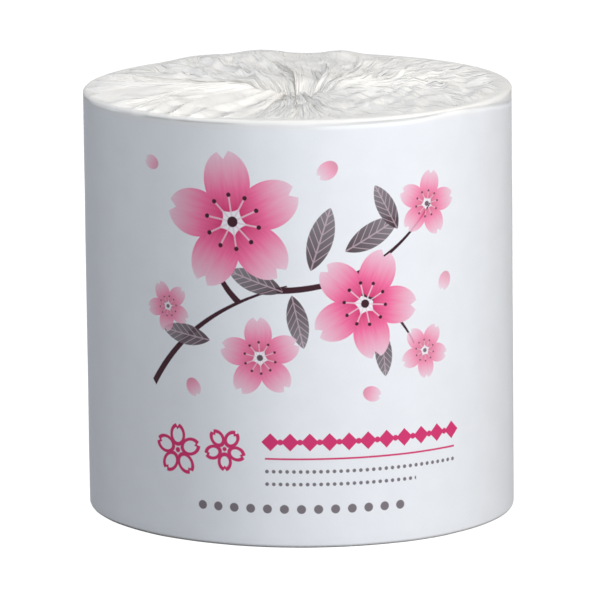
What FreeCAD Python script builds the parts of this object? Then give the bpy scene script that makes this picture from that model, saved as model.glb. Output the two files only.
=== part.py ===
import FreeCAD, Part
import math
import os

# A toilet roll in its thin paper wrapper, standing on its end, with the origin at the middle
# of its base. The wrapper goes once round the side and laps over itself at the back. At each
# end its spare width lies over the end face in swirling knife pleats, which dive into the
# hollow at the middle. The wrapped roll can't be seen into, so it is one solid.
# Lengths are in millimetres and angles in degrees. The printed side faces -Y.

# Body
roll_height = 114.0  # from the base to the plane of the top rim
roll_diameter = 115.0
rim_radius = 3.0  # rounding where the wrapper turns over the top end
foot_radius = 2.0  # rounding where it turns under the base

# Pleats, the same at both ends
pleat_count = 26
pleat_turn = -38.0  # how far a pleat swirls on its way from the rim to the mouth
pleat_overlap = 0.6  # how far each folded edge lies over the root of the next pleat
pleat_unevenness = 0.3  # share by which relief and spacing differ from pleat to pleat
spacing_rhythm = 2.4  # how the unevenness changes from one pleat to the next, in radians
fold_rhythm = 4.1
root_rhythm = 1.7
root_spread = 0.2  # share of the spacing between a folded edge and its root at the land
relief_rise = 2.0  # how much sooner than the mouth the pleats reach their full relief

# Top end
top_land = 1.5  # smooth ring between the rounded rim and the first pleats
top_relief = 1.6  # height of a folded edge over the pleat beside it
top_swell = 1.8  # how far the folded edges stand above the rim plane
top_tuck_diameter = 18.0  # across the folded edges in the hollow
top_mouth_radius = 8.0  # rounding from the end face down into the hollow
top_tuck_depth = 22.0  # from the rim plane to the hollow's floor

# Underside, pressed flat by the roll's own weight
base_land = 9.0  # flat ring that the roll stands on
base_relief = 0.9
base_hollow = 0.8  # how far the folded edges inside the ring lie above the base plane
base_tuck_diameter = 18.0
base_mouth_radius = 7.0
base_tuck_depth = 20.0

# Lap of the wrapper at the back
lap_width = 13.0
lap_step = 0.3  # height of the free edge over the paper beneath it
lap_root = 0.5  # how deep the lap's solid reaches into the body, so that the two are one
lap_bearing = 94.0  # where the free edge lies, counter-clockwise from +X

# Creases across a pleat's strip of paper, where one flat stretch meets the next
face_steps = 5
mouth_steps = 4

body_radius = roll_diameter / 2


def unevenness(index, rhythm):
    """Return one pleat's own departure from the average, the same at every build."""
    return pleat_unevenness * math.sin((index + 1) * rhythm)


def ease(share):
    """Return a share of 0 to 1 with a smooth start and end."""
    return share * share * (3 - 2 * share)


def end_path(start_radius, tuck_radius, mouth_radius, depth, swell):
    """Trace the section of an end that the folded edges follow, from its land to the floor.

    Each point holds its radius, its height over the end plane, the radial and axial parts of
    the way out of the paper, and the shares of relief and of turn that are reached there.
    """
    mouth_start = tuck_radius + mouth_radius
    points = []
    for step in range(face_steps):
        share = step / face_steps
        radius = start_radius + share * (mouth_start - start_radius)
        relief_share = ease(min(1.0, relief_rise * share))
        points.append((radius, swell * relief_share, 0.0, 1.0, relief_share, ease(share)))
    for step in range(mouth_steps + 1):
        angle = math.pi / 2 * (1 + step / mouth_steps)
        out_radial = math.cos(angle)
        out_axial = math.sin(angle)
        radius = mouth_start + mouth_radius * out_radial
        height = swell - mouth_radius * (1 - out_axial)
        points.append((radius, height, out_radial, out_axial, 1.0, 1.0))
    points.append((tuck_radius, -depth, -1.0, 0.0, 1.0, 1.0))
    return points


def pleat_lines(path, relief, plane, outward):
    """Return the folded edge and the root line of every pleat of one end, in turn.

    Args:
        path: the end's section, from end_path.
        relief: height of a folded edge over its root.
        plane: height of the end plane.
        outward: 1 for the top, -1 for the underside.
    """
    pitch = 360.0 / pleat_count
    lines = []
    for index in range(pleat_count):
        bearing = pitch * (index + unevenness(index, spacing_rhythm))
        fold_lift = relief * unevenness(index, fold_rhythm)
        root_lift = -relief * (1 + unevenness(index, root_rhythm))
        fold = []
        root = []
        for radius, level, out_radial, out_axial, reached, turned in path:
            lead = math.degrees(pleat_overlap / radius) * reached
            spread = root_spread * pitch * (1 - reached)
            fold_angle = math.radians(bearing + outward * pleat_turn * turned)
            root_angle = fold_angle + math.radians(spread - lead)
            for line, angle, lift in ((fold, fold_angle, fold_lift), (root, root_angle, root_lift)):
                height = plane + outward * (level + lift * reached * out_axial)
                line.append(polar(radius + lift * reached * out_radial, angle, height))
        lines.append(fold)
        lines.append(root)
    return lines


def polar(radius, angle, height):
    """Return the point at a radius, an angle in radians and a height."""
    return FreeCAD.Vector(radius * math.cos(angle), radius * math.sin(angle), height)


def closed_polygon(points):
    """Return the closed wire through the points."""
    return Part.makePolygon(points + [points[0]])


def paper_strip(line, neighbour):
    """Return the flat three-cornered faces between two lines of as many points."""
    faces = []
    for start, end, far_start, far_end in zip(line, line[1:], neighbour, neighbour[1:]):
        faces.append(Part.Face(closed_polygon([start, end, far_start])))
        faces.append(Part.Face(closed_polygon([end, far_end, far_start])))
    return faces


def pleated_end(path, relief, plane, outward, land_radius):
    """Return the faces of one end: its flat land, its pleats and the floor of its hollow."""
    lines = pleat_lines(path, relief, plane, outward)
    pleats = []
    for line, neighbour in zip(lines, lines[1:] + lines[:1]):
        pleats += paper_strip(line, neighbour)
    rim = Part.Wire(Part.makeCircle(land_radius, FreeCAD.Vector(0, 0, plane)))
    inner = closed_polygon([line[0] for line in lines])
    floor = closed_polygon([line[-1] for line in lines])
    land = Part.Face(rim).cut(Part.Face(inner))
    return land.Faces + [Part.Face(floor)] + pleats


def body_side():
    """Return the faces of the side with its rounded rim and foot."""
    rim_middle = FreeCAD.Vector(body_radius - rim_radius, 0, roll_height - rim_radius)
    foot_middle = FreeCAD.Vector(body_radius - foot_radius, 0, foot_radius)
    foot = quarter_round(foot_middle, foot_radius, -1)
    rim = quarter_round(rim_middle, rim_radius, 1)
    side = Part.LineSegment(
        FreeCAD.Vector(body_radius, 0, foot_radius),
        FreeCAD.Vector(body_radius, 0, roll_height - rim_radius),
    )
    outline = Part.Wire([foot, side.toShape(), rim])
    axis = FreeCAD.Vector(0, 0, 1)
    return outline.revolve(FreeCAD.Vector(0, 0, 0), axis, 360).Faces


def quarter_round(middle, radius, upward):
    """Return the rounding's edge from the base or side to the side or top."""
    level = middle + FreeCAD.Vector(0, 0, upward * radius)
    upright = middle + FreeCAD.Vector(radius, 0, 0)
    diagonal = radius * math.sqrt(0.5)
    between = middle + FreeCAD.Vector(diagonal, 0, upward * diagonal)
    if upward > 0:
        return Part.Arc(upright, between, level).toShape()
    return Part.Arc(level, between, upright).toShape()


def back_lap():
    """Return the wrapper's outer end, a long thin wedge that is thickest at its free edge."""
    inner_radius = body_radius - lap_root
    outer_radius = body_radius + lap_step
    free = math.radians(lap_bearing)
    wedge_angle = lap_width / body_radius * (lap_step + lap_root) / lap_step
    thin = free - wedge_angle
    halfway = (free + thin) / 2
    outer = Part.Arc(
        polar(inner_radius, thin, foot_radius),
        polar((inner_radius + outer_radius) / 2, halfway, foot_radius),
        polar(outer_radius, free, foot_radius),
    )
    edge = Part.LineSegment(
        polar(outer_radius, free, foot_radius),
        polar(inner_radius, free, foot_radius),
    )
    inner = Part.Arc(
        polar(inner_radius, free, foot_radius),
        polar(inner_radius, halfway, foot_radius),
        polar(inner_radius, thin, foot_radius),
    )
    outline = Part.Wire([outer.toShape(), edge.toShape(), inner.toShape()])
    height = roll_height - rim_radius - foot_radius
    return Part.Face(outline).extrude(FreeCAD.Vector(0, 0, height))


def wrapped_roll():
    """Return the whole wrapped roll as one solid."""
    top_land_radius = body_radius - rim_radius
    base_land_radius = body_radius - foot_radius
    top_path = end_path(
        top_land_radius - top_land, top_tuck_diameter / 2, top_mouth_radius, top_tuck_depth,
        top_swell)
    base_path = end_path(
        base_land_radius - base_land, base_tuck_diameter / 2, base_mouth_radius,
        base_tuck_depth, -base_hollow)
    faces = body_side()
    faces += pleated_end(top_path, top_relief, roll_height, 1, top_land_radius)
    faces += pleated_end(base_path, base_relief, 0.0, -1, base_land_radius)
    skin = Part.Compound(faces)
    skin.sewShape()
    body = Part.Solid(skin.Shells[0])
    if body.Volume < 0:
        body.reverse()
    return body.fuse(back_lap()).Solids[0]


os.makedirs("parts", exist_ok=True)
roll = wrapped_roll()
roll.exportStep("parts/wrapped_roll.step")
print("wrapped_roll", roll.isValid(), len(roll.Faces), round(roll.Volume / 1000, 1), "cm3")
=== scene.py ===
"""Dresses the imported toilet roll: its pleated paper wrapper, the print on it and a plain studio."""

import logging
import math
import random
from dataclasses import dataclass, field, replace
from enum import Enum

import bmesh
import bpy
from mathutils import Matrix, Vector, noise

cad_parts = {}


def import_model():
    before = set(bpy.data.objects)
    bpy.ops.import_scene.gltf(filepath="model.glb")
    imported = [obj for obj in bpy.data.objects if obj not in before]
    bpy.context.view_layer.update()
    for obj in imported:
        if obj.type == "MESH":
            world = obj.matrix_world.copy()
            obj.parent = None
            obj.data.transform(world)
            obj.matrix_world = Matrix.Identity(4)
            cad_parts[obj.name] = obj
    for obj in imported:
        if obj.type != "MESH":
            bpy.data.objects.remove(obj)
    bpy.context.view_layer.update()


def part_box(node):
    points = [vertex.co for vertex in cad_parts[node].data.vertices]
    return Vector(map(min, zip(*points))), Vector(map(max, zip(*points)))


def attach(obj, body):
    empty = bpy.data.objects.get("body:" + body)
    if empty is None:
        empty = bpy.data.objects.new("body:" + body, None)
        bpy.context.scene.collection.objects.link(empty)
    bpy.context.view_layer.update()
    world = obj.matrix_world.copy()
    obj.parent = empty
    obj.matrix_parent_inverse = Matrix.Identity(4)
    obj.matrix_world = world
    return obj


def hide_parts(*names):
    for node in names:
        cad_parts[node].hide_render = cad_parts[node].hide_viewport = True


LOG = logging.getLogger("wrapped_roll")
MM = 0.001
NODE = "wrapped_roll"
BODY = "root"
PHOTO_SIDE = 598
PAPER_MAP = "wrapper_paper_mm"
FRONT_BEARING = 270.0
Source = bpy.types.Node | bpy.types.NodeSocket
Inputs = dict[int | str, object] | tuple[object, ...]

# How far the solid's pleats stand over its rim.
CAD_SWELL = 2.28 * MM
# Rows of an end's face, mouth and wall, and of the other stretches of the sheet.
TOP_ROWS, BASE_ROWS = (48, 14, 12), (28, 8, 6)
RIM_ROWS, CREASE_ROWS, SIDE_ROWS, FOOT_ROWS = 8, 14, 44, 5
# Shares of the hollow's radius at which the rows of its floor lie.
FLOOR_SHARES = (0.6, 0.25, 0.0)
# Shares of the way from the rim to the mouth at which a fold's bearings are given.
WAY_SHARES = (0.0, 0.36, 0.64, 1.0)
# Share of its relief by which a folded edge stands over the end, and its root lies under it.
EDGE_RISE, ROOT_FALL = 0.45, 0.55
# How far inside the side the top's creases begin.
TOP_INSET = 0.6 * MM

# Forms of the printed figures, as shares of a figure's size. Lengths and widths are halves.
PETAL_MIDDLE, PETAL_LENGTH, PETAL_WIDTH, PETAL_MARGIN = 0.57, 0.43, 0.335, 0.35
NOTCH_DEPTH, NOTCH_SLOPE, STREAKS_ACROSS = 0.88, 1.3, 9.0
THREAD_LENGTH, THREAD_HALF_WIDTH, BEAD_PLACE, BEAD_RADIUS = 0.36, 0.012, 0.38, 0.032
LEAF_WIDTH, LEAF_FULLNESS, LEAF_TRIM, TWIG_TAPER = 0.62, 0.8, 0.02, 0.75
VEIN_SLOPE, VEIN_PITCH, VEIN_HALF_WIDTH = 1.3, 0.07, 0.011
# Strengths of the ink in a petal's streaks, the stamens' threads, a leaf and its veins.
STREAK_INK, THREAD_INK, LEAF_INK, VEIN_INK = 0.22, 0.8, 0.94, 0.45


def ease(share: float) -> float:
    """Return a share, held to 0 to 1, with a smooth start and end."""
    held = min(1.0, max(0.0, share))
    return held * held * (3 - 2 * held)


def mix(first: float, second: float, share: float) -> float:
    """Return the value a share of the way from the first to the second."""
    return first + (second - first) * share


class Zone(Enum):
    """Stretch of the paper's way from the hollow at the top to the hollow underneath."""

    TOP_HOLLOW = "top_hollow"
    TOP_FACE = "top_face"
    RIM = "rim"
    SIDE = "side"
    FOOT = "foot"
    BASE_FACE = "base_face"
    BASE_HOLLOW = "base_hollow"


@dataclass(frozen=True)
class Station:
    """One row of the sheet as it lies before it is pleated.

    Attributes:
        zone: stretch of the way that the row is in.
        radius: distance from the roll's axis, in metres.
        height: height over the base, in metres.
        out_radial: radial part of the way out of the paper.
        out_axial: axial part of the way out of the paper.
        path: distance along the sheet, which on the side is the height over the base.
    """

    zone: Zone
    radius: float
    height: float
    out_radial: float
    out_axial: float
    path: float = 0.0


@dataclass(frozen=True)
class Fold:
    """One knife pleat of an end, named by its folded edge.

    Attributes:
        way: bearings of the folded edge, in degrees counter-clockwise from +X, at the rim, at
            two places on the end face and at the mouth of the hollow.
        lift: height of the folded edge, as a share of the end's relief.
        crown: how far the panel behind this edge bulges, as a share of the relief.
        start: how far inside the rim the pleat begins, in millimetres.
        curl: how late the panel rises to this edge, where 1 is a straight slope.
        spread: share of the next panel over which the paper comes down from this edge. At 0 it
            turns back under the edge.
        rough: how creased the panel behind this edge is, as a share of the end's usual amount.
    """

    way: tuple[float, float, float, float]
    lift: float = 1.0
    crown: float = 0.1
    start: float = 0.0
    curl: float = 2.2
    spread: float = 0.0
    rough: float = 1.0


@dataclass(frozen=True)
class Bulge:
    """A soft hump or dent in the paper of an end.

    Attributes:
        bearing: where it lies, in degrees counter-clockwise from +X.
        inside: how far inside the rim it lies, in millimetres.
        width: distance from its middle at which it has mostly died away, in millimetres.
        height: its height, in millimetres, negative in a dent.
    """

    bearing: float
    inside: float
    width: float
    height: float


@dataclass
class Crease:
    """A sharp crest or valley that runs straight across the paper of an end.

    Attributes:
        start: bearing in degrees and distance from the axis in millimetres of its one end.
        end: the same for its other end.
        width: half its width, in millimetres.
        height: its height, in millimetres, negative in a valley.
        foot: its start as a level point.
        run: the way from there to its end.
    """

    start: tuple[float, float]
    end: tuple[float, float]
    width: float
    height: float
    foot: Vector = field(init=False)
    run: Vector = field(init=False)

    def __post_init__(self) -> None:
        """Lay the crease out on the level."""
        self.foot = direction(self.start[0]) * self.start[1]
        self.run = direction(self.end[0]) * self.end[1] - self.foot

    def rise(self, point: Vector) -> float:
        """Return its height at a level point, with all lengths in millimetres."""
        away = point - self.foot
        share = min(1.0, max(0.0, away.dot(self.run) / self.run.length_squared))
        reach = (away - self.run * share).length / self.width
        return self.height * max(0.0, 1.0 - reach)


@dataclass(frozen=True)
class EndPleats:
    """The pleats of one end and the sizes that they share, in metres.

    Attributes:
        folds: the pleats in turn, counter-clockwise seen from above.
        relief: usual height of a folded edge over the panel beside it.
        mouth_relief: the same where the paper dives into the hollow.
        overlap: how far a folded edge lies over the next panel's root.
        swell: how far the middle of the end stands out over its rim.
        crumple: height of the creases across the panels.
        wander: how far a folded edge strays from its smooth way, in degrees.
        tuck_radius: radius of the hollow.
        mouth_radius: rounding from the end face into the hollow.
        tuck_depth: depth of the hollow.
        bulges: its humps and dents.
        creases: its creases across the pleats, of which the highest and the deepest count.
        crumples: its small creases, which add up.
    """

    folds: tuple[Fold, ...]
    relief: float
    mouth_relief: float
    overlap: float
    swell: float
    crumple: float
    wander: float
    tuck_radius: float = 9.0 * MM
    mouth_radius: float = 8.0 * MM
    tuck_depth: float = 22.0 * MM
    bulges: tuple[Bulge, ...] = ()
    creases: tuple[Crease, ...] = ()
    crumples: tuple[Crease, ...] = ()


def top_folds() -> tuple[Fold, ...]:
    """Return the pleats of the top end, laid as on the photographed roll."""
    return (
        Fold((82, 78, 74, 62), 1.2, 0.5, 16),
        Fold((101, 99, 96, 93), 1.5, 0.4, 14),
        Fold((110, 111, 112, 108), 0.9, 0.2, 6, 2.0, 0.3),
        Fold((121, 120, 122, 123), 0.8, 0.2, 4, 2.0, 0.3),
        Fold((135, 134, 138, 138), 1.1, 0.0, 3, 2.0, 0.25),
        Fold((147, 148, 149, 149), 0.6, 0.0, 1, 2.0, 0.4),
        Fold((158, 160, 160, 158), 1.3, 0.1, 0, 2.0, 0.1),
        Fold((170, 171, 168, 163), 0.8, 0.0, -1, 2.0, 0.4, 0.5),
        Fold((183, 178, 172, 166), 1.0, 0.0, -1, 1.8, 0.5, 0.4),
        Fold((196, 184, 176, 171), 1.3, 0.0, -1, 1.8, 0.5, 0.4),
        Fold((212, 206, 187, 178), 1.5, 0.0, -1, 1.8, 0.5, 0.3),
        Fold((222, 213, 198, 189), 1.2, 0.0, -1, 1.8, 0.5, 0.3),
        Fold((228, 220, 212, 200), 1.2, 0.0, -1, 1.8, 0.5, 0.3),
        Fold((235, 229, 224, 221), 1.4, 0.0, -1, 1.8, 0.5, 0.4),
        Fold((241, 240, 242, 243), 1.3, 0.0, -1, 1.8, 0.4, 0.4),
        Fold((249, 252, 255, 255), 0.9, 0.1, 1, 2.0, 0.3, 0.5),
        Fold((267, 268, 268, 264), 0.6, 0.2, 1, 2.0, 0.3, 0.5),
        Fold((277, 276, 275, 272), 0.6, 0.1, 5, 2.2, 0.2, 0.5),
        Fold((291, 283, 279, 278), 0.7, 0.2, 6, 3.0, 0.2, 0.5),
        Fold((302, 298, 296, 290), 0.8, 0.1, 7, 3.5, 0.0, 0.7),
        Fold((311, 312, 318, 308), 0.9, 0.1, 6, 3.5, 0.0, 0.5),
        Fold((322, 331, 332, 322), 0.8, 0.1, 5, 4.0, 0.0, 0.5),
        Fold((337, 342, 343, 336), 0.9, 0.1, 4, 4.0, 0.0, 0.6),
        Fold((353, 357, 351, 344), 1.2, 0.1, 3, 4.0),
        Fold((368, 367, 362, 352), 1.0, 0.1, 2, 4.0),
        Fold((383, 382, 376, 361), 1.0, 0.1, 1, 4.0),
        Fold((398, 396, 390, 374), 1.1, 0.1, 0, 4.0),
        Fold((413, 410, 404, 388), 0.9, 0.1, 0, 3.5),
        Fold((427, 424, 419, 403), 1.0, 0.3, 2, 3.0),
    )


def top_bulges() -> tuple[Bulge, ...]:
    """Return the humps that show over the back rim and the pockets between the right pleats."""
    return (
        Bulge(101.0, 4.0, 8.0, 1.3),
        Bulge(77.5, 4.0, 5.5, 1.1),
        Bulge(118.0, 4.0, 9.0, 0.8),
        Bulge(222.0, 17.0, 13.0, 0.8),
        Bulge(270.0, 32.0, 18.0, 0.8),
        Bulge(284.0, 19.0, 8.0, 0.7),
        Bulge(306.0, 18.0, 9.0, 0.8),
        Bulge(329.0, 18.0, 9.0, 0.9),
        Bulge(274.0, 27.0, 2.5, -1.2),
    )


def top_creases() -> tuple[Crease, ...]:
    """Return the crests and valleys that cross the pleats."""
    crest = ((324, 31), (351, 37), (359, 39), (347, 42.5), (342.5, 46.5), (346, 52))
    inner = ((308, 25), (323, 26.5), (337, 28), (357, 29.5), (368, 33))
    front = ((277, 31), (281, 36), (285, 41), (296, 37.5), (308, 39))
    upper = ((11, 28), (18, 37), (31, 45), (15, 44), (10, 51))
    left = ((154.6, 53), (150.7, 38.7), (123, 29))
    facet = ((135, 37.6), (118.5, 44.7), (113, 41), (121, 29))
    lines = []
    for points, width, height in (
        (crest, 3.2, 1.2), (inner, 3.0, 1.0), (front, 3.0, -0.9), (upper, 2.4, 0.9),
        (left, 2.6, 1.0), (facet, 2.6, 0.9),
    ):
        lines += [Crease(start, end, width, height) for start, end in zip(points, points[1:])]
    lines += [
        Crease((359, 38), (347, 42), 1.9, 1.5),
        Crease((345, 50), (335, 52.5), 3.2, 1.1),
        Crease((330, 36), (318, 39), 2.4, 1.0),
        Crease((9, 43), (4.5, 50.5), 2.2, -1.0),
        Crease((312, 33), (303, 37), 2.2, 0.8),
        Crease((306, 53), (318, 42), 2.6, 0.8),
        Crease((330, 52), (325, 41), 2.4, 0.9),
        Crease((300, 52), (296, 38), 2.2, 0.6),
        Crease((285, 42), (280, 30), 2.0, 0.7),
        Crease((262, 52), (258, 38), 2.2, 0.6),
        Crease((121, 22), (150, 14), 2.2, 1.2),
        Crease((40, 50), (46, 34), 2.6, 0.8),
        Crease((58, 52), (66, 36), 2.4, 0.7),
    ]
    return tuple(lines)


def top_crumples() -> tuple[Crease, ...]:
    """Return the small straight creases of the top end, which has two smoother parts."""
    chance = random.Random(5)
    lines = []
    for _ in range(110):
        bearing, radius = chance.uniform(0.0, 360.0), chance.uniform(18.0, 52.0)
        inner = max(12.0, radius - chance.uniform(5.0, 14.0))
        turn = math.degrees(chance.uniform(-5.0, 8.0) / radius)
        height = chance.choice((-1, 1)) * chance.uniform(0.2, 0.42)
        width = chance.uniform(1.1, 2.1)
        if not 165.0 < bearing < 262.0 and not 285.0 < bearing < 340.0:
            lines.append(Crease((bearing, radius), (bearing + turn, inner), width, height))
    return tuple(lines)


def base_folds(rims: list[float], turn: float) -> tuple[Fold, ...]:
    """Return the pleats of the underside, as uneven as a folding machine leaves them.

    Args:
        rims: bearings of the sheet's folds as they come down the side, in degrees.
        turn: how far a pleat swirls on its way to the middle, in degrees.

    Returns:
        The folds in turn.
    """
    chance = random.Random(11)
    pitch = 360.0 / len(rims)
    folds = []
    for index, rim in enumerate(rims):
        mouth = rims[0] + turn + pitch * (index + chance.uniform(-0.3, 0.3))
        way = (rim, mix(rim, mouth, 0.3), mix(rim, mouth, 0.75), mouth)
        start = chance.uniform(3.0, 7.0)
        folds.append(Fold(way, chance.uniform(0.7, 1.1), chance.uniform(0.0, 0.3), start, 2.0))
    return tuple(folds)


@dataclass
class Wrapper:
    """The paper wrapper: one flat sheet laid round the roll and pleated over both its ends.

    Attributes:
        radius: radius of the side, in metres.
        rim_height: height of the rim's plane.
        top: pleats of the top end.
        base: pleats of the underside.
        rim_radius: rounding over the top edge.
        foot_radius: rounding at the base.
        lap_bearing: bearing of the sheet's free edge at the back, in degrees.
        lap_width: how far the sheet lies over its own start.
        lap_step: height of the free edge over the paper beneath it.
        ripple: depth of the gentle waves in the side.
        lean: how far the soft roll leans to the left and its top rises to the right, in radians.
        crease_zone: height of the band under the rim that gets closer rows.
        crease_bearings: places along the crease that the rim leaves in the side, in degrees.
        crease_drops: how far the crease lies below the rim there, in millimetres.
        crease_depth: depth of the crease.
        crease_width: half its width.
        panel_places: where the sheet's columns lie across a panel, closer near its folds.
        back_places: where they lie across the paper that turns back under a fold.
        panel_share: share of a pleat's paper that is in the panel.
    """

    radius: float
    rim_height: float
    top: EndPleats
    base: EndPleats
    rim_radius: float = 1.0 * MM
    foot_radius: float = 1.0 * MM
    lap_bearing: float = 94.0
    lap_width: float = 13.0 * MM
    lap_step: float = 0.3 * MM
    ripple: float = 0.12 * MM
    lean: float = 0.011
    crease_zone: float = 6.0 * MM
    crease_bearings: tuple[float, ...] = (272.0, 300.0, 315.0, 329.0, 340.0, 356.0)
    crease_drops: tuple[float, ...] = (1.5, 1.6, 0.9, 1.6, 2.7, 4.4)
    crease_depth: float = 0.26 * MM
    crease_width: float = 0.45 * MM
    panel_places: tuple[float, ...] = (
        0.0, 0.04, 0.12, 0.22, 0.33, 0.45, 0.56, 0.67, 0.77, 0.86, 0.93, 0.98, 1.0)
    back_places: tuple[float, ...] = (0.15, 0.35, 0.65)
    panel_share: float = 0.8

    def stations(self) -> list[Station]:
        """Return the sheet's rows, from the middle of the top hollow to that underneath."""
        rows = self._end_rows(self.top, True)
        rows.reverse()
        level = self.rim_height - self.rim_radius
        rows += self._rounded_rows(Zone.RIM, self.rim_radius, level, RIM_ROWS)
        rows += self._side_rows()
        rows += self._rounded_rows(Zone.FOOT, self.foot_radius, self.foot_radius, FOOT_ROWS)
        rows += self._end_rows(self.base, False)
        return self._with_path(rows)

    def _end_rows(self, end: EndPleats, top: bool) -> list[Station]:
        """Return the rows of an end, from its rim to the middle of its hollow's floor.

        Args:
            end: the end's sizes.
            top: whether it is the top end, which shows more and gets more rows.

        Returns:
            The rows.
        """
        up = 1.0 if top else -1.0
        plane = self.rim_height if top else 0.0
        face, hollow = (
            (Zone.TOP_FACE, Zone.TOP_HOLLOW) if top else (Zone.BASE_FACE, Zone.BASE_HOLLOW))
        face_rows, mouth_rows, wall_rows = TOP_ROWS if top else BASE_ROWS
        start = self.radius - (self.rim_radius if top else self.foot_radius)
        mouth_start = end.tuck_radius + end.mouth_radius
        rows = []
        for step in range(face_rows):
            share = step / face_rows
            height = plane + up * end.swell * ease(1.5 * share)
            rows.append(Station(face, mix(start, mouth_start, share), height, 0.0, up))
        level = plane + up * (end.swell - end.mouth_radius)
        for step in range(mouth_rows + 1):
            angle = math.pi / 2 * (1 + step / mouth_rows)
            radial, axial = math.cos(angle), up * math.sin(angle)
            radius = mouth_start + end.mouth_radius * radial
            rows.append(Station(hollow, radius, level + end.mouth_radius * axial, radial, axial))
        floor = plane - up * end.tuck_depth
        for step in range(1, wall_rows + 1):
            height = mix(level, floor, step / wall_rows)
            rows.append(Station(hollow, end.tuck_radius, height, -1.0, 0.0))
        for share in FLOOR_SHARES:
            rows.append(Station(hollow, end.tuck_radius * share, floor, 0.0, up))
        return rows

    def _rounded_rows(
        self, zone: Zone, rounding: float, level: float, count: int
    ) -> list[Station]:
        """Return the rows of the rounding between the side and an end, in the sheet's order."""
        rows = []
        for step in range(count):
            share = (step + 0.5) / count
            angle = math.pi / 2 * ((1 - share) if zone is Zone.RIM else -share)
            radial, axial = math.cos(angle), math.sin(angle)
            radius = self.radius - rounding * (1 - radial)
            rows.append(Station(zone, radius, level + rounding * axial, radial, axial))
        return rows

    def _side_rows(self) -> list[Station]:
        """Return the rows of the side, from the rim down to the foot."""
        top = self.rim_height - self.rim_radius
        low = top - self.crease_zone
        heights = [mix(top, low, step / CREASE_ROWS) for step in range(CREASE_ROWS)]
        for step in range(SIDE_ROWS + 1):
            heights.append(mix(low, self.foot_radius, step / SIDE_ROWS))
        return [Station(Zone.SIDE, self.radius, height, 1.0, 0.0) for height in heights]

    def _with_path(self, rows: list[Station]) -> list[Station]:
        """Return the rows with their distance along the sheet, equal to the height on the side."""
        lengths = [0.0]
        for before, after in zip(rows, rows[1:]):
            step = math.hypot(after.radius - before.radius, after.height - before.height)
            lengths.append(lengths[-1] + step)
        anchor = next(index for index, row in enumerate(rows) if row.zone is Zone.SIDE)
        zero = lengths[anchor] + rows[anchor].height
        return [replace(row, path=zero - length) for row, length in zip(rows, lengths)]

    def columns(self) -> list[tuple[int, float]]:
        """Return each column's pleat and its share of that pleat's paper."""
        shares = [self.panel_share * place for place in self.panel_places]
        shares += [mix(self.panel_share, 1.0, place) for place in self.back_places]
        return [(pleat, share) for pleat in range(len(self.top.folds)) for share in shares]

    def side_bearing(self, pleat: int, share: float) -> float:
        """Return a column's bearing on the side, in degrees."""
        folds = self.top.folds
        before = folds[pleat - 1].way[0] - (360.0 if pleat == 0 else 0.0)
        return mix(before, folds[pleat].way[0], share)

    def build(self) -> bpy.types.Object:
        """Return the wrapper's object, a flat sheet moved into its folds and closed all round."""
        rows = self.stations()
        columns = self.columns()
        last_row, last_column = len(rows) - 1, len(columns)
        sheet = bmesh.new()
        bmesh.ops.create_grid(sheet, x_segments=last_column, y_segments=last_row, size=1.0)
        cells = {}
        for vert in sheet.verts:
            column = round((vert.co.x + 1) / 2 * last_column)
            row = round((1 - vert.co.y) / 2 * last_row)
            cells[vert] = (row, column)
        bearings = [self.side_bearing(pleat, share) for pleat, share in columns]
        bearings.append(bearings[0] + 360.0)
        layer = sheet.loops.layers.uv.new(PAPER_MAP)
        for face in sheet.faces:
            face.smooth = True
            for loop in face.loops:
                row, column = cells[loop.vert]
                across = math.radians(bearings[column] - FRONT_BEARING) * self.radius
                loop[layer].uv = (across / MM, rows[row].path / MM)
        for vert, (row, column) in cells.items():
            pleat, share = columns[column % last_column]
            vert.co = self._placed(rows[row], pleat, share)
        for edge in sheet.edges:
            (first_row, first), (other_row, other) = (cells[vert] for vert in edge.verts)
            folded = first == other and columns[first % last_column][1] == self.panel_share
            flat = {rows[first_row].zone, rows[other_row].zone} <= {Zone.SIDE, Zone.FOOT, Zone.RIM}
            edge.smooth = not folded or flat
        bmesh.ops.remove_doubles(sheet, verts=sheet.verts, dist=0.002 * MM)
        bmesh.ops.recalc_face_normals(sheet, faces=sheet.faces)
        mesh = bpy.data.meshes.new("paper_wrapper")
        sheet.to_mesh(mesh)
        sheet.free()
        piece = bpy.data.objects.new("paper_wrapper", mesh)
        bpy.context.scene.collection.objects.link(piece)
        return piece

    def _placed(self, station: Station, pleat: int, share: float) -> Vector:
        """Return where a point of the sheet lies on the wrapped roll."""
        bearing = self.side_bearing(pleat, share)
        if station.zone in (Zone.SIDE, Zone.FOOT):
            point = self._on_side(station, bearing)
        elif station.zone in (Zone.RIM, Zone.TOP_FACE, Zone.TOP_HOLLOW):
            point = self._on_end(station, self.top, self.radius - TOP_INSET, pleat, share)
        else:
            point = self._on_end(station, self.base, self.radius - self.foot_radius, pleat, share)
        if station.zone in (Zone.SIDE, Zone.RIM):
            point -= self._crease(station, bearing) * direction(bearing)
        across, up = point.x, max(0.0, point.z)
        point.x -= self.lean * up
        point.z = up * (1.0 + self.lean * across / self.rim_height)
        return point

    def _crease(self, station: Station, bearing: float) -> float:
        """Return how far a point lies back in the crease under the rim."""
        turn = bearing % 360.0
        first, last = self.crease_bearings[0], self.crease_bearings[-1]
        drop = curved(self.crease_bearings, self.crease_drops, turn) * MM
        off = (self.rim_height - drop - station.height) / self.crease_width
        return self.crease_depth * math.exp(-off * off) * ease((turn - first) / 8) * ease(
            (last - turn) / 4)

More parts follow.
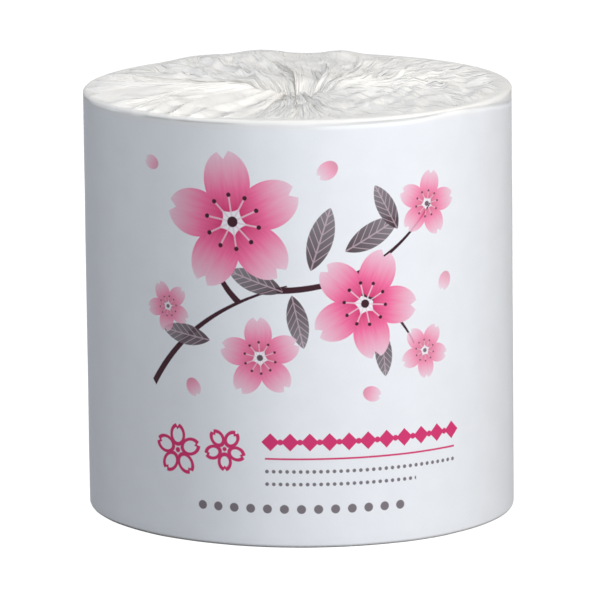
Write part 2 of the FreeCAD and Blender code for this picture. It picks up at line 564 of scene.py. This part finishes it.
    def _on_side(self, station: Station, bearing: float) -> Vector:
        """Return a point of the side, with its gentle waves and the lap at the back."""
        flat = direction(bearing)
        wave = noise.noise(Vector((flat.x * 2.6, flat.y * 2.6, station.height * 14.0)))
        wave += 0.5 * noise.noise(Vector((flat.x * 7.0, flat.y * 7.0, station.height * 45.0 + 5.0)))
        offset = self.ripple * wave + self._lap(bearing) * station.out_radial
        return lifted(station, flat, offset)

    def _lap(self, bearing: float) -> float:
        """Return how far the sheet stands out where it lies over its own start."""
        behind = (self.lap_bearing - bearing) % 360.0
        width = math.degrees(self.lap_width / self.radius)
        return self.lap_step * (1.0 - ease(behind / width))

    def _on_end(
        self, station: Station, end: EndPleats, start: float, pleat: int, share: float
    ) -> Vector:
        """Return a point of a pleated end.

        Args:
            station: the point's row.
            end: the end's sizes and pleats.
            start: radius at which the end face begins.
            pleat: number of the column's pleat.
            share: the column's share of the pleat's paper.

        Returns:
            The point, in metres.
        """
        inside = start - station.radius
        radius = max(station.radius, 0.2 * MM)
        closing = ease(station.radius / end.tuck_radius)
        inwards = inside / (start - end.tuck_radius - 0.5 * end.mouth_radius)
        depth = mix(end.relief, end.mouth_relief, ease((inwards - 0.55) / 0.45)) * closing
        fold, before = end.folds[pleat], end.folds[pleat - 1]
        edge, reach = self._fold_at(end, pleat, inside, inwards)
        edge_before, reach_before = self._fold_at(end, pleat - 1, inside, inwards)
        after = (pleat + 1) % len(end.folds)
        edge_after, _ = self._fold_at(end, after, inside, inwards)
        if pleat == 0:
            edge_before -= 360.0
        if after == 0:
            edge_after += 360.0
        lead = min(6.0, math.degrees(end.overlap / radius)) * closing
        high = EDGE_RISE * fold.lift * reach
        if share <= self.panel_share:
            across = share / self.panel_share
            root = mix(edge_before - lead * reach_before, edge, before.spread * reach_before)
            bearing = mix(root, edge, across)
            bulge = fold.crown * reach * 2.5 * across * (1 - across)
            low = -ROOT_FALL * before.lift * reach_before
            lift = mix(low, high, across**fold.curl) + bulge
        else:
            back = (share - self.panel_share) / (1 - self.panel_share)
            nose = math.degrees(0.15 * MM / radius) * math.sin(math.pi * min(1.0, back * 2))
            root = mix(edge - lead * reach, edge_after, fold.spread * reach)
            bearing = mix(edge, root, ease(back)) + nose * reach * closing
            lift = mix(high, -ROOT_FALL * fold.lift * reach, ease(back))
        bearing = mix(self.side_bearing(pleat, share), bearing, ease(inside / (4 * MM)))
        flat = direction(bearing)
        settled = ease(inside / (5 * MM)) * closing
        settled *= end.crumple * fold.rough
        offset = lift * depth + self._creases(pleat, share, bearing, inside) * settled
        offset += self._bulge(end, bearing, inside, radius) * station.out_axial**2
        level = flat * (radius / MM)
        offset += self._crossed(end, level) * ease(inside / (3 * MM)) * closing
        return lifted(station, flat, offset)

    def _crossed(self, end: EndPleats, level: Vector) -> float:
        """Return the height of an end's creases at a level point in millimetres, in metres.

        The highest crest and the deepest valley count, so that crests meet in sharp corners.
        """
        rises = [crease.rise(level) for crease in end.creases]
        small = sum(crumple.rise(level) for crumple in end.crumples)
        return (max(rises, default=0.0) + min(rises, default=0.0) + small) * MM

    def _bulge(self, end: EndPleats, bearing: float, inside: float, radius: float) -> float:
        """Return the height of the end's humps and dents at a point, in metres.

        Args:
            end: the end's sizes.
            bearing: the point's bearing, in degrees.
            inside: its distance inside the rim.
            radius: its distance from the axis.

        Returns:
            The height.
        """
        height = 0.0
        for bulge in end.bulges:
            turn = (bearing - bulge.bearing + 180.0) % 360.0 - 180.0
            across = math.radians(turn) * radius / MM
            reach = math.hypot(across, inside / MM - bulge.inside) / bulge.width
            height += bulge.height * MM * math.exp(-(reach**3))
        return height

    def _creases(self, pleat: int, share: float, bearing: float, inside: float) -> float:
        """Return the height of the fine creases in a panel, which run mostly along its folds.

        Args:
            pleat: number of the pleat, which has creases of its own.
            share: place across the pleat's paper.
            bearing: the point's bearing, in degrees.
            inside: its distance inside the rim, in metres.

        Returns:
            The height, from about -1 to 1.
        """
        across = min(1.0, share / self.panel_share)
        along = inside / (20 * MM)
        own = 3.7 * pleat
        ridge, cross, fine = (
            top - fall * abs(noise.noise(Vector(place) + Vector((own, 0.0, own))))
            for top, fall, place in (
                (0.6, 2.6, (across * 3.0 + along * 0.9, along * 1.1, 0.0)),
                (0.6, 2.6, (across * 1.6 - along * 1.6, along * 3.0, 0.0)),
                (0.5, 2.2, (across * 6.0, along * 2.0, 9.0)),
            ))
        broad = noise.noise(Vector((bearing / 17.0, along * 1.5, 3.0)))
        fade = ease(across * 6) * ease((1 - across) * 6)
        return (0.6 * ridge + 0.55 * cross + 0.4 * fine) * fade + 0.9 * broad

    def _fold_at(
        self, end: EndPleats, pleat: int, inside: float, inwards: float
    ) -> tuple[float, float]:
        """Return a folded edge's bearing and the share of its relief that it has reached.

        Args:
            end: the end's sizes and pleats.
            pleat: number of the pleat.
            inside: distance inside the rim, in metres.
            inwards: share of the way from the rim to the mouth.

        Returns:
            The bearing in degrees and the share of relief.
        """
        fold = end.folds[pleat]
        stray = noise.noise(Vector((inside / (9 * MM), 7.3 * pleat, 0.0)))
        stray *= end.wander * ease(inwards * 4) * ease((1.15 - inwards) * 4)
        reach = ease((inside - fold.start * MM) / (5 * MM))
        return curved(WAY_SHARES, fold.way, inwards) + stray, reach


def curved(places: tuple[float, ...], values: tuple[float, ...], place: float) -> float:
    """Return the value at a place on the smooth curve through the values.

    Args:
        places: where the values are given, in rising order.
        values: the values.
        place: where the value is wanted, held to the first and last place.

    Returns:
        The value.
    """
    held = min(places[-1], max(places[0], place))
    last = len(places) - 1
    index = next(step for step in range(last) if held <= places[step + 1])
    slopes = []
    for knot in (index, index + 1):
        low, high = max(0, knot - 1), min(last, knot + 1)
        slopes.append((values[high] - values[low]) / (places[high] - places[low]))
    width = places[index + 1] - places[index]
    share = (held - places[index]) / width
    level = mix(values[index], values[index + 1], ease(share))
    start = slopes[0] * width * share * (1 - share) ** 2
    return level + start - slopes[1] * width * share**2 * (1 - share)


def direction(bearing: float) -> Vector:
    """Return the level unit vector at a bearing in degrees."""
    angle = math.radians(bearing)
    return Vector((math.cos(angle), math.sin(angle), 0.0))


def lifted(station: Station, flat: Vector, offset: float) -> Vector:
    """Return a row's point at a level direction, moved out of the paper by an offset."""
    radius = station.radius + station.out_radial * offset
    return flat * radius + Vector((0.0, 0.0, station.height + station.out_axial * offset))


def linear(code: str) -> tuple[float, float, float, float]:
    """Return an sRGB hex colour as linear red, green and blue, with a full alpha."""
    parts = [int(code[place : place + 2], 16) / 255 for place in (1, 3, 5)]
    red, green, blue = (
        part / 12.92 if part <= 0.04045 else ((part + 0.055) / 1.055) ** 2.4 for part in parts)
    return red, green, blue, 1.0


def add(
    tree: bpy.types.NodeTree, kind: str, inputs: Inputs, **settings: object
) -> bpy.types.Node:
    """Add a node, set it up and feed its inputs.

    Args:
        tree: node tree that gets the node.
        kind: the type of the node, without the words that all the types begin with, and its
            operation after a dot where it has one.
        inputs: what its inputs get, in turn or by number or name. Each gets a value, a socket,
            or a node for that node's first output.
        settings: the node's own settings.

    Returns:
        The new node.
    """
    kind, _, operation = kind.partition(".")
    node = tree.nodes.new("ShaderNode" + kind)
    if operation:
        node.operation = operation
    for name, value in settings.items():
        setattr(node, name, value)
    for key, value in (inputs if isinstance(inputs, dict) else dict(enumerate(inputs))).items():
        source = value.outputs[0] if isinstance(value, bpy.types.Node) else value
        if isinstance(source, bpy.types.NodeSocket):
            tree.links.new(source, node.inputs[key])
        else:
            node.inputs[key].default_value = source
    return node


class Drawing(Enum):
    """How a printed figure is drawn."""

    FILLED = "filled"
    OUTLINED = "outlined"


@dataclass(frozen=True)
class Motif:
    """One printed figure, placed on the sheet in millimetres from the middle of the front's foot.

    Attributes:
        across: place of its foot across the sheet, to the right.
        up: place of its foot up the sheet.
        size: radius of a blossom, or length of a leaf, petal or twig.
        turn: direction that it points in, in degrees counter-clockwise from the right.
        strength: how much ink it carries, from 0 to 1.
        bend: how far its middle bows to its left, as a share of its size.
        drawing: whether it is filled or outlined.
    """

    across: float
    up: float
    size: float
    turn: float
    strength: float = 1.0
    bend: float = 0.0
    drawing: Drawing = Drawing.FILLED


@dataclass(frozen=True)
class DotRow:
    """A printed row of equal dots or lozenges, in millimetres on the sheet.

    Attributes:
        start: place of the first dot across the sheet.
        end: place of the last dot.
        up: height of the row.
        pitch: distance from one dot to the next.
        radius: radius of a dot.
        ink: its colour.
        lozenge: whether the dots are lozenges.
    """

    start: float
    end: float
    up: float
    pitch: float
    radius: float
    ink: str
    lozenge: bool = False


@dataclass
class SprayPrint:
    """The print on the front: a spray of five-petalled blossom over a plain dotted border.

    It is in two inks, a pink that fades within each petal and a dark plum. All sizes are in
    millimetres on the flat sheet.

    Attributes:
        tree: node tree that the print is drawn in.
        sheet: the place on the sheet.
        colour: the sheet's colour, which each figure is laid over in turn.
        pink_deep: ink at the foot of a petal.
        pink: ink half way up it.
        pink_pale: ink at its tip, and of the veins of a leaf.
        plum: dark ink.
        grey: dark ink where it is thin.
        soft_edge: half the width over which ink fades at an edge.
        stroke: half the width of an outline.
        twig_half_width: half the width of a twig at its foot.
        rule: start, end, height and thickness of the thin rule.
    """

    tree: bpy.types.NodeTree
    sheet: Source
    colour: Source
    pink_deep: str = "#d2366f"
    pink: str = "#f0709f"
    pink_pale: str = "#ebcbd9"
    plum: str = "#33131f"
    grey: str = "#7b7379"
    soft_edge: float = 0.1
    stroke: float = 0.45
    twig_half_width: float = 0.95
    twigs: tuple[Motif, ...] = (
        Motif(-42.0, 42.0, 48.0, 36.0, 1.0, 0.10),
        Motif(-6.0, 69.0, 48.0, 26.0, 1.0, -0.12),
        Motif(-15.8, 65.4, 21.5, 112.0, 1.0, 0.12),
        Motif(6.3, 70.3, 30.5, 326.0, 1.0, 0.14),
    )
    leaves: tuple[Motif, ...] = (
        Motif(3.0, 74.0, 18.0, 72.0),
        Motif(12.0, 79.0, 17.5, 28.0),
        Motif(-4.0, 68.6, 16.0, 160.0),
        Motif(-2.0, 68.0, 15.0, 282.0),
        Motif(27.0, 84.0, 14.0, 118.0),
        Motif(-24.0, 55.0, 15.0, 172.0),
        Motif(22.0, 58.0, 13.0, 275.0),
    )
    petals: tuple[Motif, ...] = (
        Motif(11.0, 103.0, 7.0, 215.0, 0.7),
        Motif(-31.0, 45.0, 6.0, 300.0, 0.7),
        Motif(16.0, 42.0, 6.0, 340.0, 0.7),
        Motif(43.0, 72.0, 6.0, 250.0, 0.6),
        Motif(-39.0, 100.0, 5.5, 160.0, 0.6),
    )
    blossoms: tuple[Motif, ...] = (
        Motif(-17.5, 87.0, 19.0, 98.0),
        Motif(17.5, 65.0, 15.0, 66.0),
        Motif(-10.5, 51.0, 11.0, 22.0, 0.9),
        Motif(36.0, 90.0, 9.0, 80.0, 0.85),
        Motif(35.0, 51.0, 7.5, 130.0, 0.8),
        Motif(-37.0, 63.0, 7.0, 45.0, 0.8),
        Motif(-34.5, 24.5, 7.2, 90.0, 1.0, 0.0, Drawing.OUTLINED),
        Motif(-20.5, 26.0, 6.0, 54.0, 1.0, 0.0, Drawing.OUTLINED),
    )
    rows: tuple[DotRow, ...] = (
        DotRow(-8.0, 44.0, 28.5, 5.2, 2.4, "#d2366f", True),
        DotRow(-5.4, 41.4, 28.5, 5.2, 0.8, "#d2366f"),
        DotRow(-9.0, 44.4, 20.6, 1.78, 0.5, "#7b7379"),
        DotRow(-9.0, 31.0, 17.2, 1.78, 0.5, "#7b7379"),
        DotRow(-27.0, 27.0, 10.5, 4.5, 1.2, "#7b7379"),
    )
    rule: tuple[float, float, float, float] = (-9.5, 45.0, 24.0, 0.5)

    def drawn(self) -> Source:
        """Lay every figure over the sheet's colour and return the colour of the printed sheet."""
        for twig in self.twigs:
            self._twig(twig)
        for leaf in self.leaves:
            self._leaf(leaf)
        for petal in self.petals:
            self._petal(petal, *self._placed(petal)[:2])
        for blossom in self.blossoms:
            self._blossom(blossom)
        parts = self._add("SeparateXYZ", {0: self.sheet})
        for row in self.rows:
            self._row(row, parts.outputs[0], parts.outputs[1])
        start, end, level, thick = self.rule
        long = self._within(parts.outputs[0], (start + end) / 2, (end - start) / 2)
        high = self._within(parts.outputs[1], level, thick / 2)
        self._ink(self.pink_deep, self._add("Math.MINIMUM", (long, high)))
        return self.colour

    def _add(self, kind: str, inputs: Inputs, **settings: object) -> bpy.types.Node:
        """Return a new node of the print's own tree."""
        return add(self.tree, kind, inputs, **settings)

    def _placed(self, motif: Motif) -> tuple[Source, Source, Source, Source]:
        """Return the place seen from one figure.

        Args:
            motif: the figure.

        Returns:
            The place along and across the figure, the distance from its foot, all as shares of
            its size, and the direction from its foot in radians.
        """
        moved = self._add("VectorMath.SUBTRACT", (self.sheet, (motif.across, motif.up, 0.0)))
        turned = self._add(
            "VectorRotate", {0: moved, 3: -math.radians(motif.turn)}, rotation_type="Z_AXIS")
        scaled = self._add("VectorMath", {0: turned, "Scale": 1 / motif.size}, operation="SCALE")
        parts = self._add("SeparateXYZ", {0: scaled})
        distance = self._add("VectorMath.LENGTH", (scaled,))
        heading = self._add("Math.ARCTAN2", (parts.outputs[1], parts))
        return parts.outputs[0], parts.outputs[1], distance.outputs[1], heading

    def _inside(self, margin: Source, size: float, strength: float) -> bpy.types.Node:
        """Return how much ink lies where a figure's margin, a share of its size, is over 0."""
        soft = self.soft_edge / size
        return self._add("MapRange", {0: margin, 1: -soft, 2: soft, 3: 0.0, 4: strength})

    def _within(self, place: Source, middle: float, half: float) -> bpy.types.Node:
        """Return how far a place is inside a strip, given by its middle and half its width."""
        off = self._add("Math.SUBTRACT", (place, middle))
        off = self._add("Math.ABSOLUTE", (off,))
        return self._add("Math.SUBTRACT", (half, off))

    def _ink(
        self, ink: str | Source, margin: Source, size: float = 1.0, strength: float = 1.0
    ) -> None:
        """Lay a figure's ink over the colour.

        Args:
            ink: the ink's hex colour or what gives its colour.
            margin: distance into the figure, as a share of its size.
            size: its size.
            strength: how much ink it carries.
        """
        shade = linear(ink) if isinstance(ink, str) else ink
        self.colour = self._add(
            "Mix", {0: self._inside(margin, size, strength), 6: self.colour, 7: shade},
            data_type="RGBA").outputs[2]

    def _petal(self, motif: Motif, along: Source, across: Source) -> None:
        """Draw a petal with a notch in its tip, deep pink at its foot and pale at its tip.

        Args:
            motif: the petal, or the blossom that it is part of.
            along: place along the petal.
            across: place across it.
        """
        length = self._add(
            "Math.MULTIPLY_ADD", (along, 1 / PETAL_LENGTH, -PETAL_MIDDLE / PETAL_LENGTH))
        width = self._add("Math.MULTIPLY", (across, 1 / PETAL_WIDTH))
        oval = self._add("CombineXYZ", {0: length, 1: width})
        reach = self._add("VectorMath.LENGTH", (oval,)).outputs[1]
        body = self._add("Math.MULTIPLY_ADD", (reach, -PETAL_MARGIN, PETAL_MARGIN))
        aside = self._add("Math.ABSOLUTE", (across,))
        notch = self._add("Math.MULTIPLY_ADD", (aside, NOTCH_SLOPE, NOTCH_DEPTH))
        depth = self._add("Math.SUBTRACT", (notch, along))
        margin = self._add("Math.MINIMUM", (body, depth))
        if motif.drawing is Drawing.OUTLINED:
            stroke = self.stroke / motif.size
            line = self._within(margin, stroke, stroke)
            self._ink(self.pink_deep, line, motif.size, motif.strength)
            return
        spread = self._add("Math.MULTIPLY", (across, STREAKS_ACROSS))
        place = self._add("CombineXYZ", {0: along, 1: spread})
        streak = self._add("TexNoise", {"Vector": place, "Scale": 2.2, "Detail": 2.0})
        tone = self._add("Math.MULTIPLY_ADD", (streak, STREAK_INK, -STREAK_INK / 2))
        tone = self._add("Math.ADD", (along, tone))
        ramp = self._add("ValToRGB", {0: tone})
        foot, tip = ramp.color_ramp.elements
        foot.position, foot.color = 0.12, linear(self.pink_deep)
        tip.color = linear(self.pink_pale)
        ramp.color_ramp.elements.new(0.45).color = linear(self.pink)
        self._ink(ramp, margin, motif.size, motif.strength)

    def _blossom(self, motif: Motif) -> None:
        """Draw a five-petalled blossom with ten stamens, or an outlined one with none."""
        _, _, distance, heading = self._placed(motif)
        self._petal(motif, *self._sector(distance, heading, 5))
        ink, heart = self.pink_deep, 0.1
        if motif.drawing is Drawing.FILLED:
            ink, heart = self.plum, 0.075
            along, across = self._sector(distance, heading, 10)
            thread = self._within(across, 0.0, THREAD_HALF_WIDTH)
            short = self._add("Math.SUBTRACT", (THREAD_LENGTH, along))
            thread = self._add("Math.MINIMUM", (thread, short))
            self._ink(self.pink_pale, thread, motif.size, THREAD_INK * motif.strength)
            tip = self._add("Math.SUBTRACT", (along, BEAD_PLACE))
            place = self._add("CombineXYZ", {0: tip, 1: across})
            reach = self._add("VectorMath.LENGTH", (place,)).outputs[1]
            bead = self._add("Math.SUBTRACT", (BEAD_RADIUS, reach))
            self._ink(ink, bead, motif.size, motif.strength)
        margin = self._add("Math.SUBTRACT", (heart, distance))
        self._ink(ink, margin, motif.size, motif.strength)

    def _sector(self, distance: Source, heading: Source, count: int) -> tuple[Source, Source]:
        """Return the place along and across the middle line of the nearest equal sector.

        Args:
            distance: distance from the middle.
            heading: direction from the middle, in radians.
            count: number of sectors.

        Returns:
            The place along the line and the place across it.
        """
        half = math.pi / count
        turn = self._add("Math.WRAP", (heading, half, -half))
        level = self._add("Math.COSINE", (turn,))
        rise = self._add("Math.SINE", (turn,))
        return (
            self._add("Math.MULTIPLY", (distance, level)),
            self._add("Math.MULTIPLY", (distance, rise)))

    def _leaf(self, motif: Motif) -> None:
        """Draw a pointed dark leaf, with its rib and veins left pale."""
        along, across, _, _ = self._placed(motif)
        aside = self._add("Math.ABSOLUTE", (across,))
        bow = self._bow(along)
        bow = self._add("Math.MAXIMUM", (bow, 0.0))
        bow = self._add("Math.POWER", (bow, LEAF_FULLNESS))
        limit = self._add("Math.MULTIPLY_ADD", (bow, LEAF_WIDTH, -LEAF_TRIM))
        margin = self._add("Math.SUBTRACT", (limit, aside))
        ramp = self._add("ValToRGB", {0: along})
        foot, tip = ramp.color_ramp.elements
        foot.color = linear(self.plum)
        tip.position, tip.color = 1.2 / 1.3, linear(self.grey)
        slant = self._add("Math.MULTIPLY_ADD", (aside, -VEIN_SLOPE, along))
        vein = self._add("Math.PINGPONG", (slant, VEIN_PITCH))
        vein = self._add("Math.MINIMUM", (vein, aside))
        pale = self._add("Math.SUBTRACT", (VEIN_HALF_WIDTH, vein))
        ink = self._add(
            "Mix",
            {0: self._inside(pale, motif.size, VEIN_INK), 6: ramp, 7: linear(self.pink_pale)},
            data_type="RGBA").outputs[2]
        self._ink(ink, margin, motif.size, LEAF_INK * motif.strength)

    def _twig(self, motif: Motif) -> None:
        """Draw a bowed twig, which thins towards its end."""
        along, across, _, _ = self._placed(motif)
        bow = self._bow(along)
        side = self._add("Math.MULTIPLY_ADD", (bow, -4 * motif.bend, across))
        aside = self._add("Math.ABSOLUTE", (side,))
        thick = self.twig_half_width / motif.size
        limit = self._add("Math.MULTIPLY_ADD", (along, -TWIG_TAPER * thick, thick))
        margin = self._add("Math.SUBTRACT", (limit, aside))
        margin = self._add("Math.MINIMUM", (margin, bow))
        self._ink(self.plum, margin, motif.size, motif.strength)

    def _bow(self, along: Source) -> bpy.types.Node:
        """Return the bow of a figure's outline, which is 0 at its foot and at its tip."""
        rest = self._add("Math.SUBTRACT", (1.0, along))
        return self._add("Math.MULTIPLY", (along, rest))

    def _row(self, row: DotRow, across: Source, up: Source) -> None:
        """Draw a row of dots.

        Args:
            row: the row.
            across: place across the sheet.
            up: place up the sheet.
        """
        half = row.pitch / 2
        place = self._add("Math.SUBTRACT", (across, row.start))
        place = self._add("Math.WRAP", (place, half, -half))
        level = self._add("Math.SUBTRACT", (up, row.up))
        if row.lozenge:
            wide = self._add("Math.ABSOLUTE", (place,))
            high = self._add("Math.ABSOLUTE", (level,))
            far = self._add("Math.ADD", (wide, high))
        else:
            spot = self._add("CombineXYZ", {0: place, 1: level})
            far = self._add("VectorMath.LENGTH", (spot,)).outputs[1]
        dot = self._add("Math.SUBTRACT", (row.radius, far))
        span = (row.end - row.start + row.pitch) / 2
        inside = self._within(across, (row.start + row.end) / 2, span)
        self._ink(row.ink, self._add("Math.MINIMUM", (dot, inside)))


@dataclass(frozen=True)
class WrappingPaper:
    """Thin machine-glazed wrapping paper.

    The glazed side has a slight sheen, and its short fibres show as a faint cloudiness. The
    printed side is cooler and whiter than the paper folded over the ends, whose warmer colour is
    partly the end paper's own tint and partly painted warmth of the light that bounces between
    the folded layers. Lengths are in millimetres.

    Attributes:
        side: colour of the side.
        ends: colour of the ends, partly the paper's own tint and partly painted warmth of the
        light bounced between the folded layers.
        side_end: place up the sheet where the side's colour ends.
        top_start: place where the top end's colour is reached.
        crinkle_start: place where its crinkles are.
        roughness: how matt the glaze is.
        shine: how strongly it reflects, where 0.5 is a plain varnish.
        cloud_size: size of the clouds.
        fibre_size: size of the felted fibres.
        fibre_depth: their depth, in metres.
        streak_across: width of the fine crinkles of the top end.
        streak_along: their length, along the pleats.
        streak_depth: their depth, in metres.
    """

    side: str = "#eef0f4"
    # The ends' warmer colour is partly painted warmth of light bounced between the folded layers.
    ends: str = "#f1eee9"
    side_end: float = 111.0
    top_start: float = 114.0
    crinkle_start: float = 119.0
    roughness: float = 0.7
    shine: float = 0.25
    cloud_size: float = 9.0
    fibre_size: float = 0.9
    fibre_depth: float = 0.02 * MM
    streak_across: float = 2.6
    streak_along: float = 16.0
    streak_depth: float = 0.5 * MM

    def material(self) -> bpy.types.Material:
        """Return the paper's material."""
        paper = bpy.data.materials.new("glazed_wrapping_paper")
        paper.use_nodes = True
        tree = paper.node_tree
        tree.nodes.clear()
        sheet = add(tree, "UVMap", {}, uv_map=PAPER_MAP)
        up = add(tree, "SeparateXYZ", {0: sheet}).outputs[1]
        # Mask of the ends, which get the warmer colour: partly the end paper's own tint and partly
        # painted warmth of light bounced between the folded layers.
        over = add(tree, "MapRange", {0: up, 1: self.side_end, 2: self.top_start})
        under = add(tree, "MapRange", {0: up, 1: 1.0, 2: -1.0})
        end_tint_and_fold_warmth = add(tree, "Math.MAXIMUM", (over, under))
        ground = add(
            tree, "Mix", {0: end_tint_and_fold_warmth, 6: linear(self.side), 7: linear(self.ends)}, data_type="RGBA")
        crinkled = add(tree, "MapRange", {0: up, 1: self.top_start, 2: self.crinkle_start})
        cloud = add(tree, "TexNoise", {0: sheet, 2: 1 / self.cloud_size, 3: 4.0})
        tone = add(tree, "MapRange", {0: cloud, 1: 0.3, 2: 0.7, 3: 0.965, 4: 1.0})
        clouded = add(
            tree, "Mix", {0: 1.0, 6: ground.outputs[2], 7: tone},
            data_type="RGBA", blend_type="MULTIPLY")
        printed = SprayPrint(tree, sheet, clouded.outputs[2]).drawn()
        surface = add(
            tree, "BsdfPrincipled",
            {"Base Color": printed, "Roughness": self.roughness, "Specular IOR Level": self.shine,
             "Normal": self._relief(tree, sheet, crinkled)})
        add(tree, "OutputMaterial", {"Surface": surface})
        return paper

    def _relief(self, tree: bpy.types.NodeTree, sheet: Source, amount: Source) -> bpy.types.Node:
        """Return the normal of the paper with its fibres, and with fine crinkles at its top end.

        Args:
            tree: the material's node tree.
            sheet: the place on the sheet, in millimetres.
            amount: 1 on the top end and 0 elsewhere.

        Returns:
            The node that gives the normal.
        """
        fibres = add(tree, "TexNoise", {0: sheet, 2: 1 / self.fibre_size, 3: 3.0})
        felt = add(tree, "Bump", {0: 1.0, 1: self.fibre_depth, "Height": fibres})
        streak = (1 / self.streak_across, 1 / self.streak_along, 1.0)
        drawn = add(tree, "VectorMath.MULTIPLY", (sheet, streak))
        fold = add(tree, "TexNoise", {0: drawn, 2: 1.0, 3: 2.0, "Distortion": 0.6})
        fold = add(tree, "Math.ADD", (fold, -0.5))
        fold = add(tree, "Math.ABSOLUTE", (fold,))
        fold = add(tree, "Math.MULTIPLY", (fold, 4.0))
        fold = add(tree, "Math.MULTIPLY", (fold, amount))
        return add(tree, "Bump", {0: 1.0, 1: self.streak_depth, "Height": fold, "Normal": felt})


@dataclass(frozen=True)
class Lamp:
    """A large soft lamp that looks at the middle of the roll.

    Attributes:
        name: what it does.
        azimuth: direction it stands in, in degrees to the right of the camera.
        elevation: its height over the floor, in degrees.
        watts: its power.
        side: side of its square, in metres.
        tint: its colour.
    """

    name: str
    azimuth: float
    elevation: float
    watts: float
    side: float
    tint: str

    def build(self, distance: float, target: Vector) -> None:
        """Place the lamp at a distance from the target, in metres."""
        level = math.cos(math.radians(self.elevation))
        away = direction(self.azimuth + FRONT_BEARING) * level
        away.z = math.sin(math.radians(self.elevation))
        data = bpy.data.lights.new(self.name, "AREA")
        data.energy = self.watts
        data.size = self.side
        data.color = linear(self.tint)[:3]
        lamp = bpy.data.objects.new(self.name, data)
        lamp.location = target + away * distance
        lamp.rotation_euler = away.to_track_quat("Z", "Y").to_euler()
        bpy.context.scene.collection.objects.link(lamp)


def looked_at(tree: bpy.types.NodeTree) -> bpy.types.Node:
    """Return 1 where the camera looks, directly or by a mirror or glass, and 0 for other light."""
    path = add(tree, "LightPath", {})
    seen = path.outputs["Is Camera Ray"]
    for way in ("Is Glossy Ray", "Is Transmission Ray"):
        seen = add(tree, "Math.MAXIMUM", (seen, path.outputs[way]))
    return seen


@dataclass
class Studio:
    """A white floor, plain soft light and the photograph's camera.

    Attributes:
        camera_back: how far the camera stands in front of the roll's axis, in metres.
        camera_up: its height over the floor.
        aim: point that it looks at.
        lens_pixels: focal length in pixels of the photograph.
        lamp_distance: how far the lamps stand off.
        floor_side: side of the square floor.
        floor_matt: how much light the floor sends back to the roll.
        floor_lit: how much of the lamps' light and the roll's shadow shows on the floor.
        floor_glow: how bright the floor shows besides.
        ambient: strength of the light from all round.
        lamps: the lamps.
    """

    camera_back: float = 1.80
    camera_up: float = 0.405
    aim: tuple[float, float, float] = (-0.0008, 0.0, 0.0557)
    lens_pixels: float = 6795.0
    lamp_distance: float = 1.5
    floor_side: float = 12.0
    floor_matt: float = 0.06
    floor_lit: float = 0.3
    floor_glow: float = 0.93
    ambient: float = 0.05
    lamps: tuple[Lamp, ...] = (
        Lamp("front_lamp", 5.0, 33.0, 17.3, 0.6, "#f6faff"),
        Lamp("key_lamp", 63.0, 24.0, 12.2, 0.7, "#fffdfa"),
        Lamp("rim_lamp", -120.0, 33.0, 9.6, 0.5, "#f2f7ff"),
    )

    def camera(self) -> None:
        """Place the camera where the photograph was taken from."""
        data = bpy.data.cameras.new("photo_camera")
        data.sensor_width = 36.0
        data.lens = self.lens_pixels / PHOTO_SIDE * data.sensor_width
        data.clip_end = 50.0
        camera = bpy.data.objects.new("photo_camera", data)
        camera.location = (0.0, -self.camera_back, self.camera_up)
        look = Vector(self.aim) - camera.location
        camera.rotation_euler = look.to_track_quat("-Z", "Y").to_euler()
        bpy.context.scene.collection.objects.link(camera)
        bpy.context.scene.camera = camera

    def light(self, target: Vector) -> None:
        """Place the lamps round the target and give the world its plain white."""
        for lamp in self.lamps:
            lamp.build(self.lamp_distance, target)
        world = bpy.data.worlds.new("plain_white")
        world.use_nodes = True
        tree = world.node_tree
        tree.nodes.clear()
        strength = add(tree, "MapRange", {0: looked_at(tree), 3: self.ambient, 4: 1.0})
        sky = add(tree, "Background", {"Strength": strength})
        add(tree, "OutputWorld", {"Surface": sky})
        bpy.context.scene.world = world

    def floor(self) -> None:
        """Lay the floor, white to the camera and still holding the roll's soft shadow."""
        plane = bmesh.new()
        bmesh.ops.create_grid(plane, x_segments=1, y_segments=1, size=self.floor_side / 2)
        mesh = bpy.data.meshes.new("floor")
        plane.to_mesh(mesh)
        plane.free()
        floor = bpy.data.objects.new("floor", mesh)
        bpy.context.scene.collection.objects.link(floor)
        card = bpy.data.materials.new("white_studio_card")
        card.use_nodes = True
        tree = card.node_tree
        tree.nodes.clear()
        matt, lit = (
            add(tree, "BsdfDiffuse", {"Color": (shade, shade, shade, 1.0)})
            for shade in (self.floor_matt, self.floor_lit))
        glow = add(
            tree, "Emission", {"Color": (1.0, 1.0, 1.0, 1.0), "Strength": self.floor_glow})
        bright = add(tree, "AddShader", {0: lit, 1: glow})
        shown = add(tree, "MixShader", {0: looked_at(tree), 1: matt, 2: bright})
        add(tree, "OutputMaterial", {"Surface": shown})
        mesh.materials.append(card)


def main() -> None:
    """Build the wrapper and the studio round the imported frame."""
    logging.basicConfig(level=logging.INFO, format="%(message)s")
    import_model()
    _, high = (Vector(corner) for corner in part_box(NODE))
    folds = top_folds()
    wrapper = Wrapper(
        radius=high.x,
        rim_height=high.z - CAD_SWELL,
        top=EndPleats(
            folds, relief=1.35 * MM, mouth_relief=1.9 * MM, overlap=1.0 * MM, swell=-0.3 * MM,
            crumple=0.6 * MM, wander=1.4, bulges=top_bulges(), creases=top_creases(),
            crumples=top_crumples()),
        base=EndPleats(
            base_folds([fold.way[0] for fold in folds], -38.0), relief=0.9 * MM,
            mouth_relief=1.4 * MM, overlap=0.6 * MM, swell=-0.8 * MM, crumple=0.3 * MM,
            wander=1.5, mouth_radius=7.0 * MM, tuck_depth=20.0 * MM),
    )
    piece = wrapper.build()
    piece.data.materials.append(WrappingPaper().material())
    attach(piece, BODY)
    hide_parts(NODE)
    LOG.info("wrapper: %d faces", len(piece.data.polygons))
    studio = Studio()
    studio.floor()
    studio.light(Vector((0.0, 0.0, high.z / 2)))
    studio.camera()
    bpy.context.scene.view_settings.view_transform = "Standard"
    LOG.info("studio: %d lamps", len(studio.lamps))


if __name__ == "__main__":
    main()
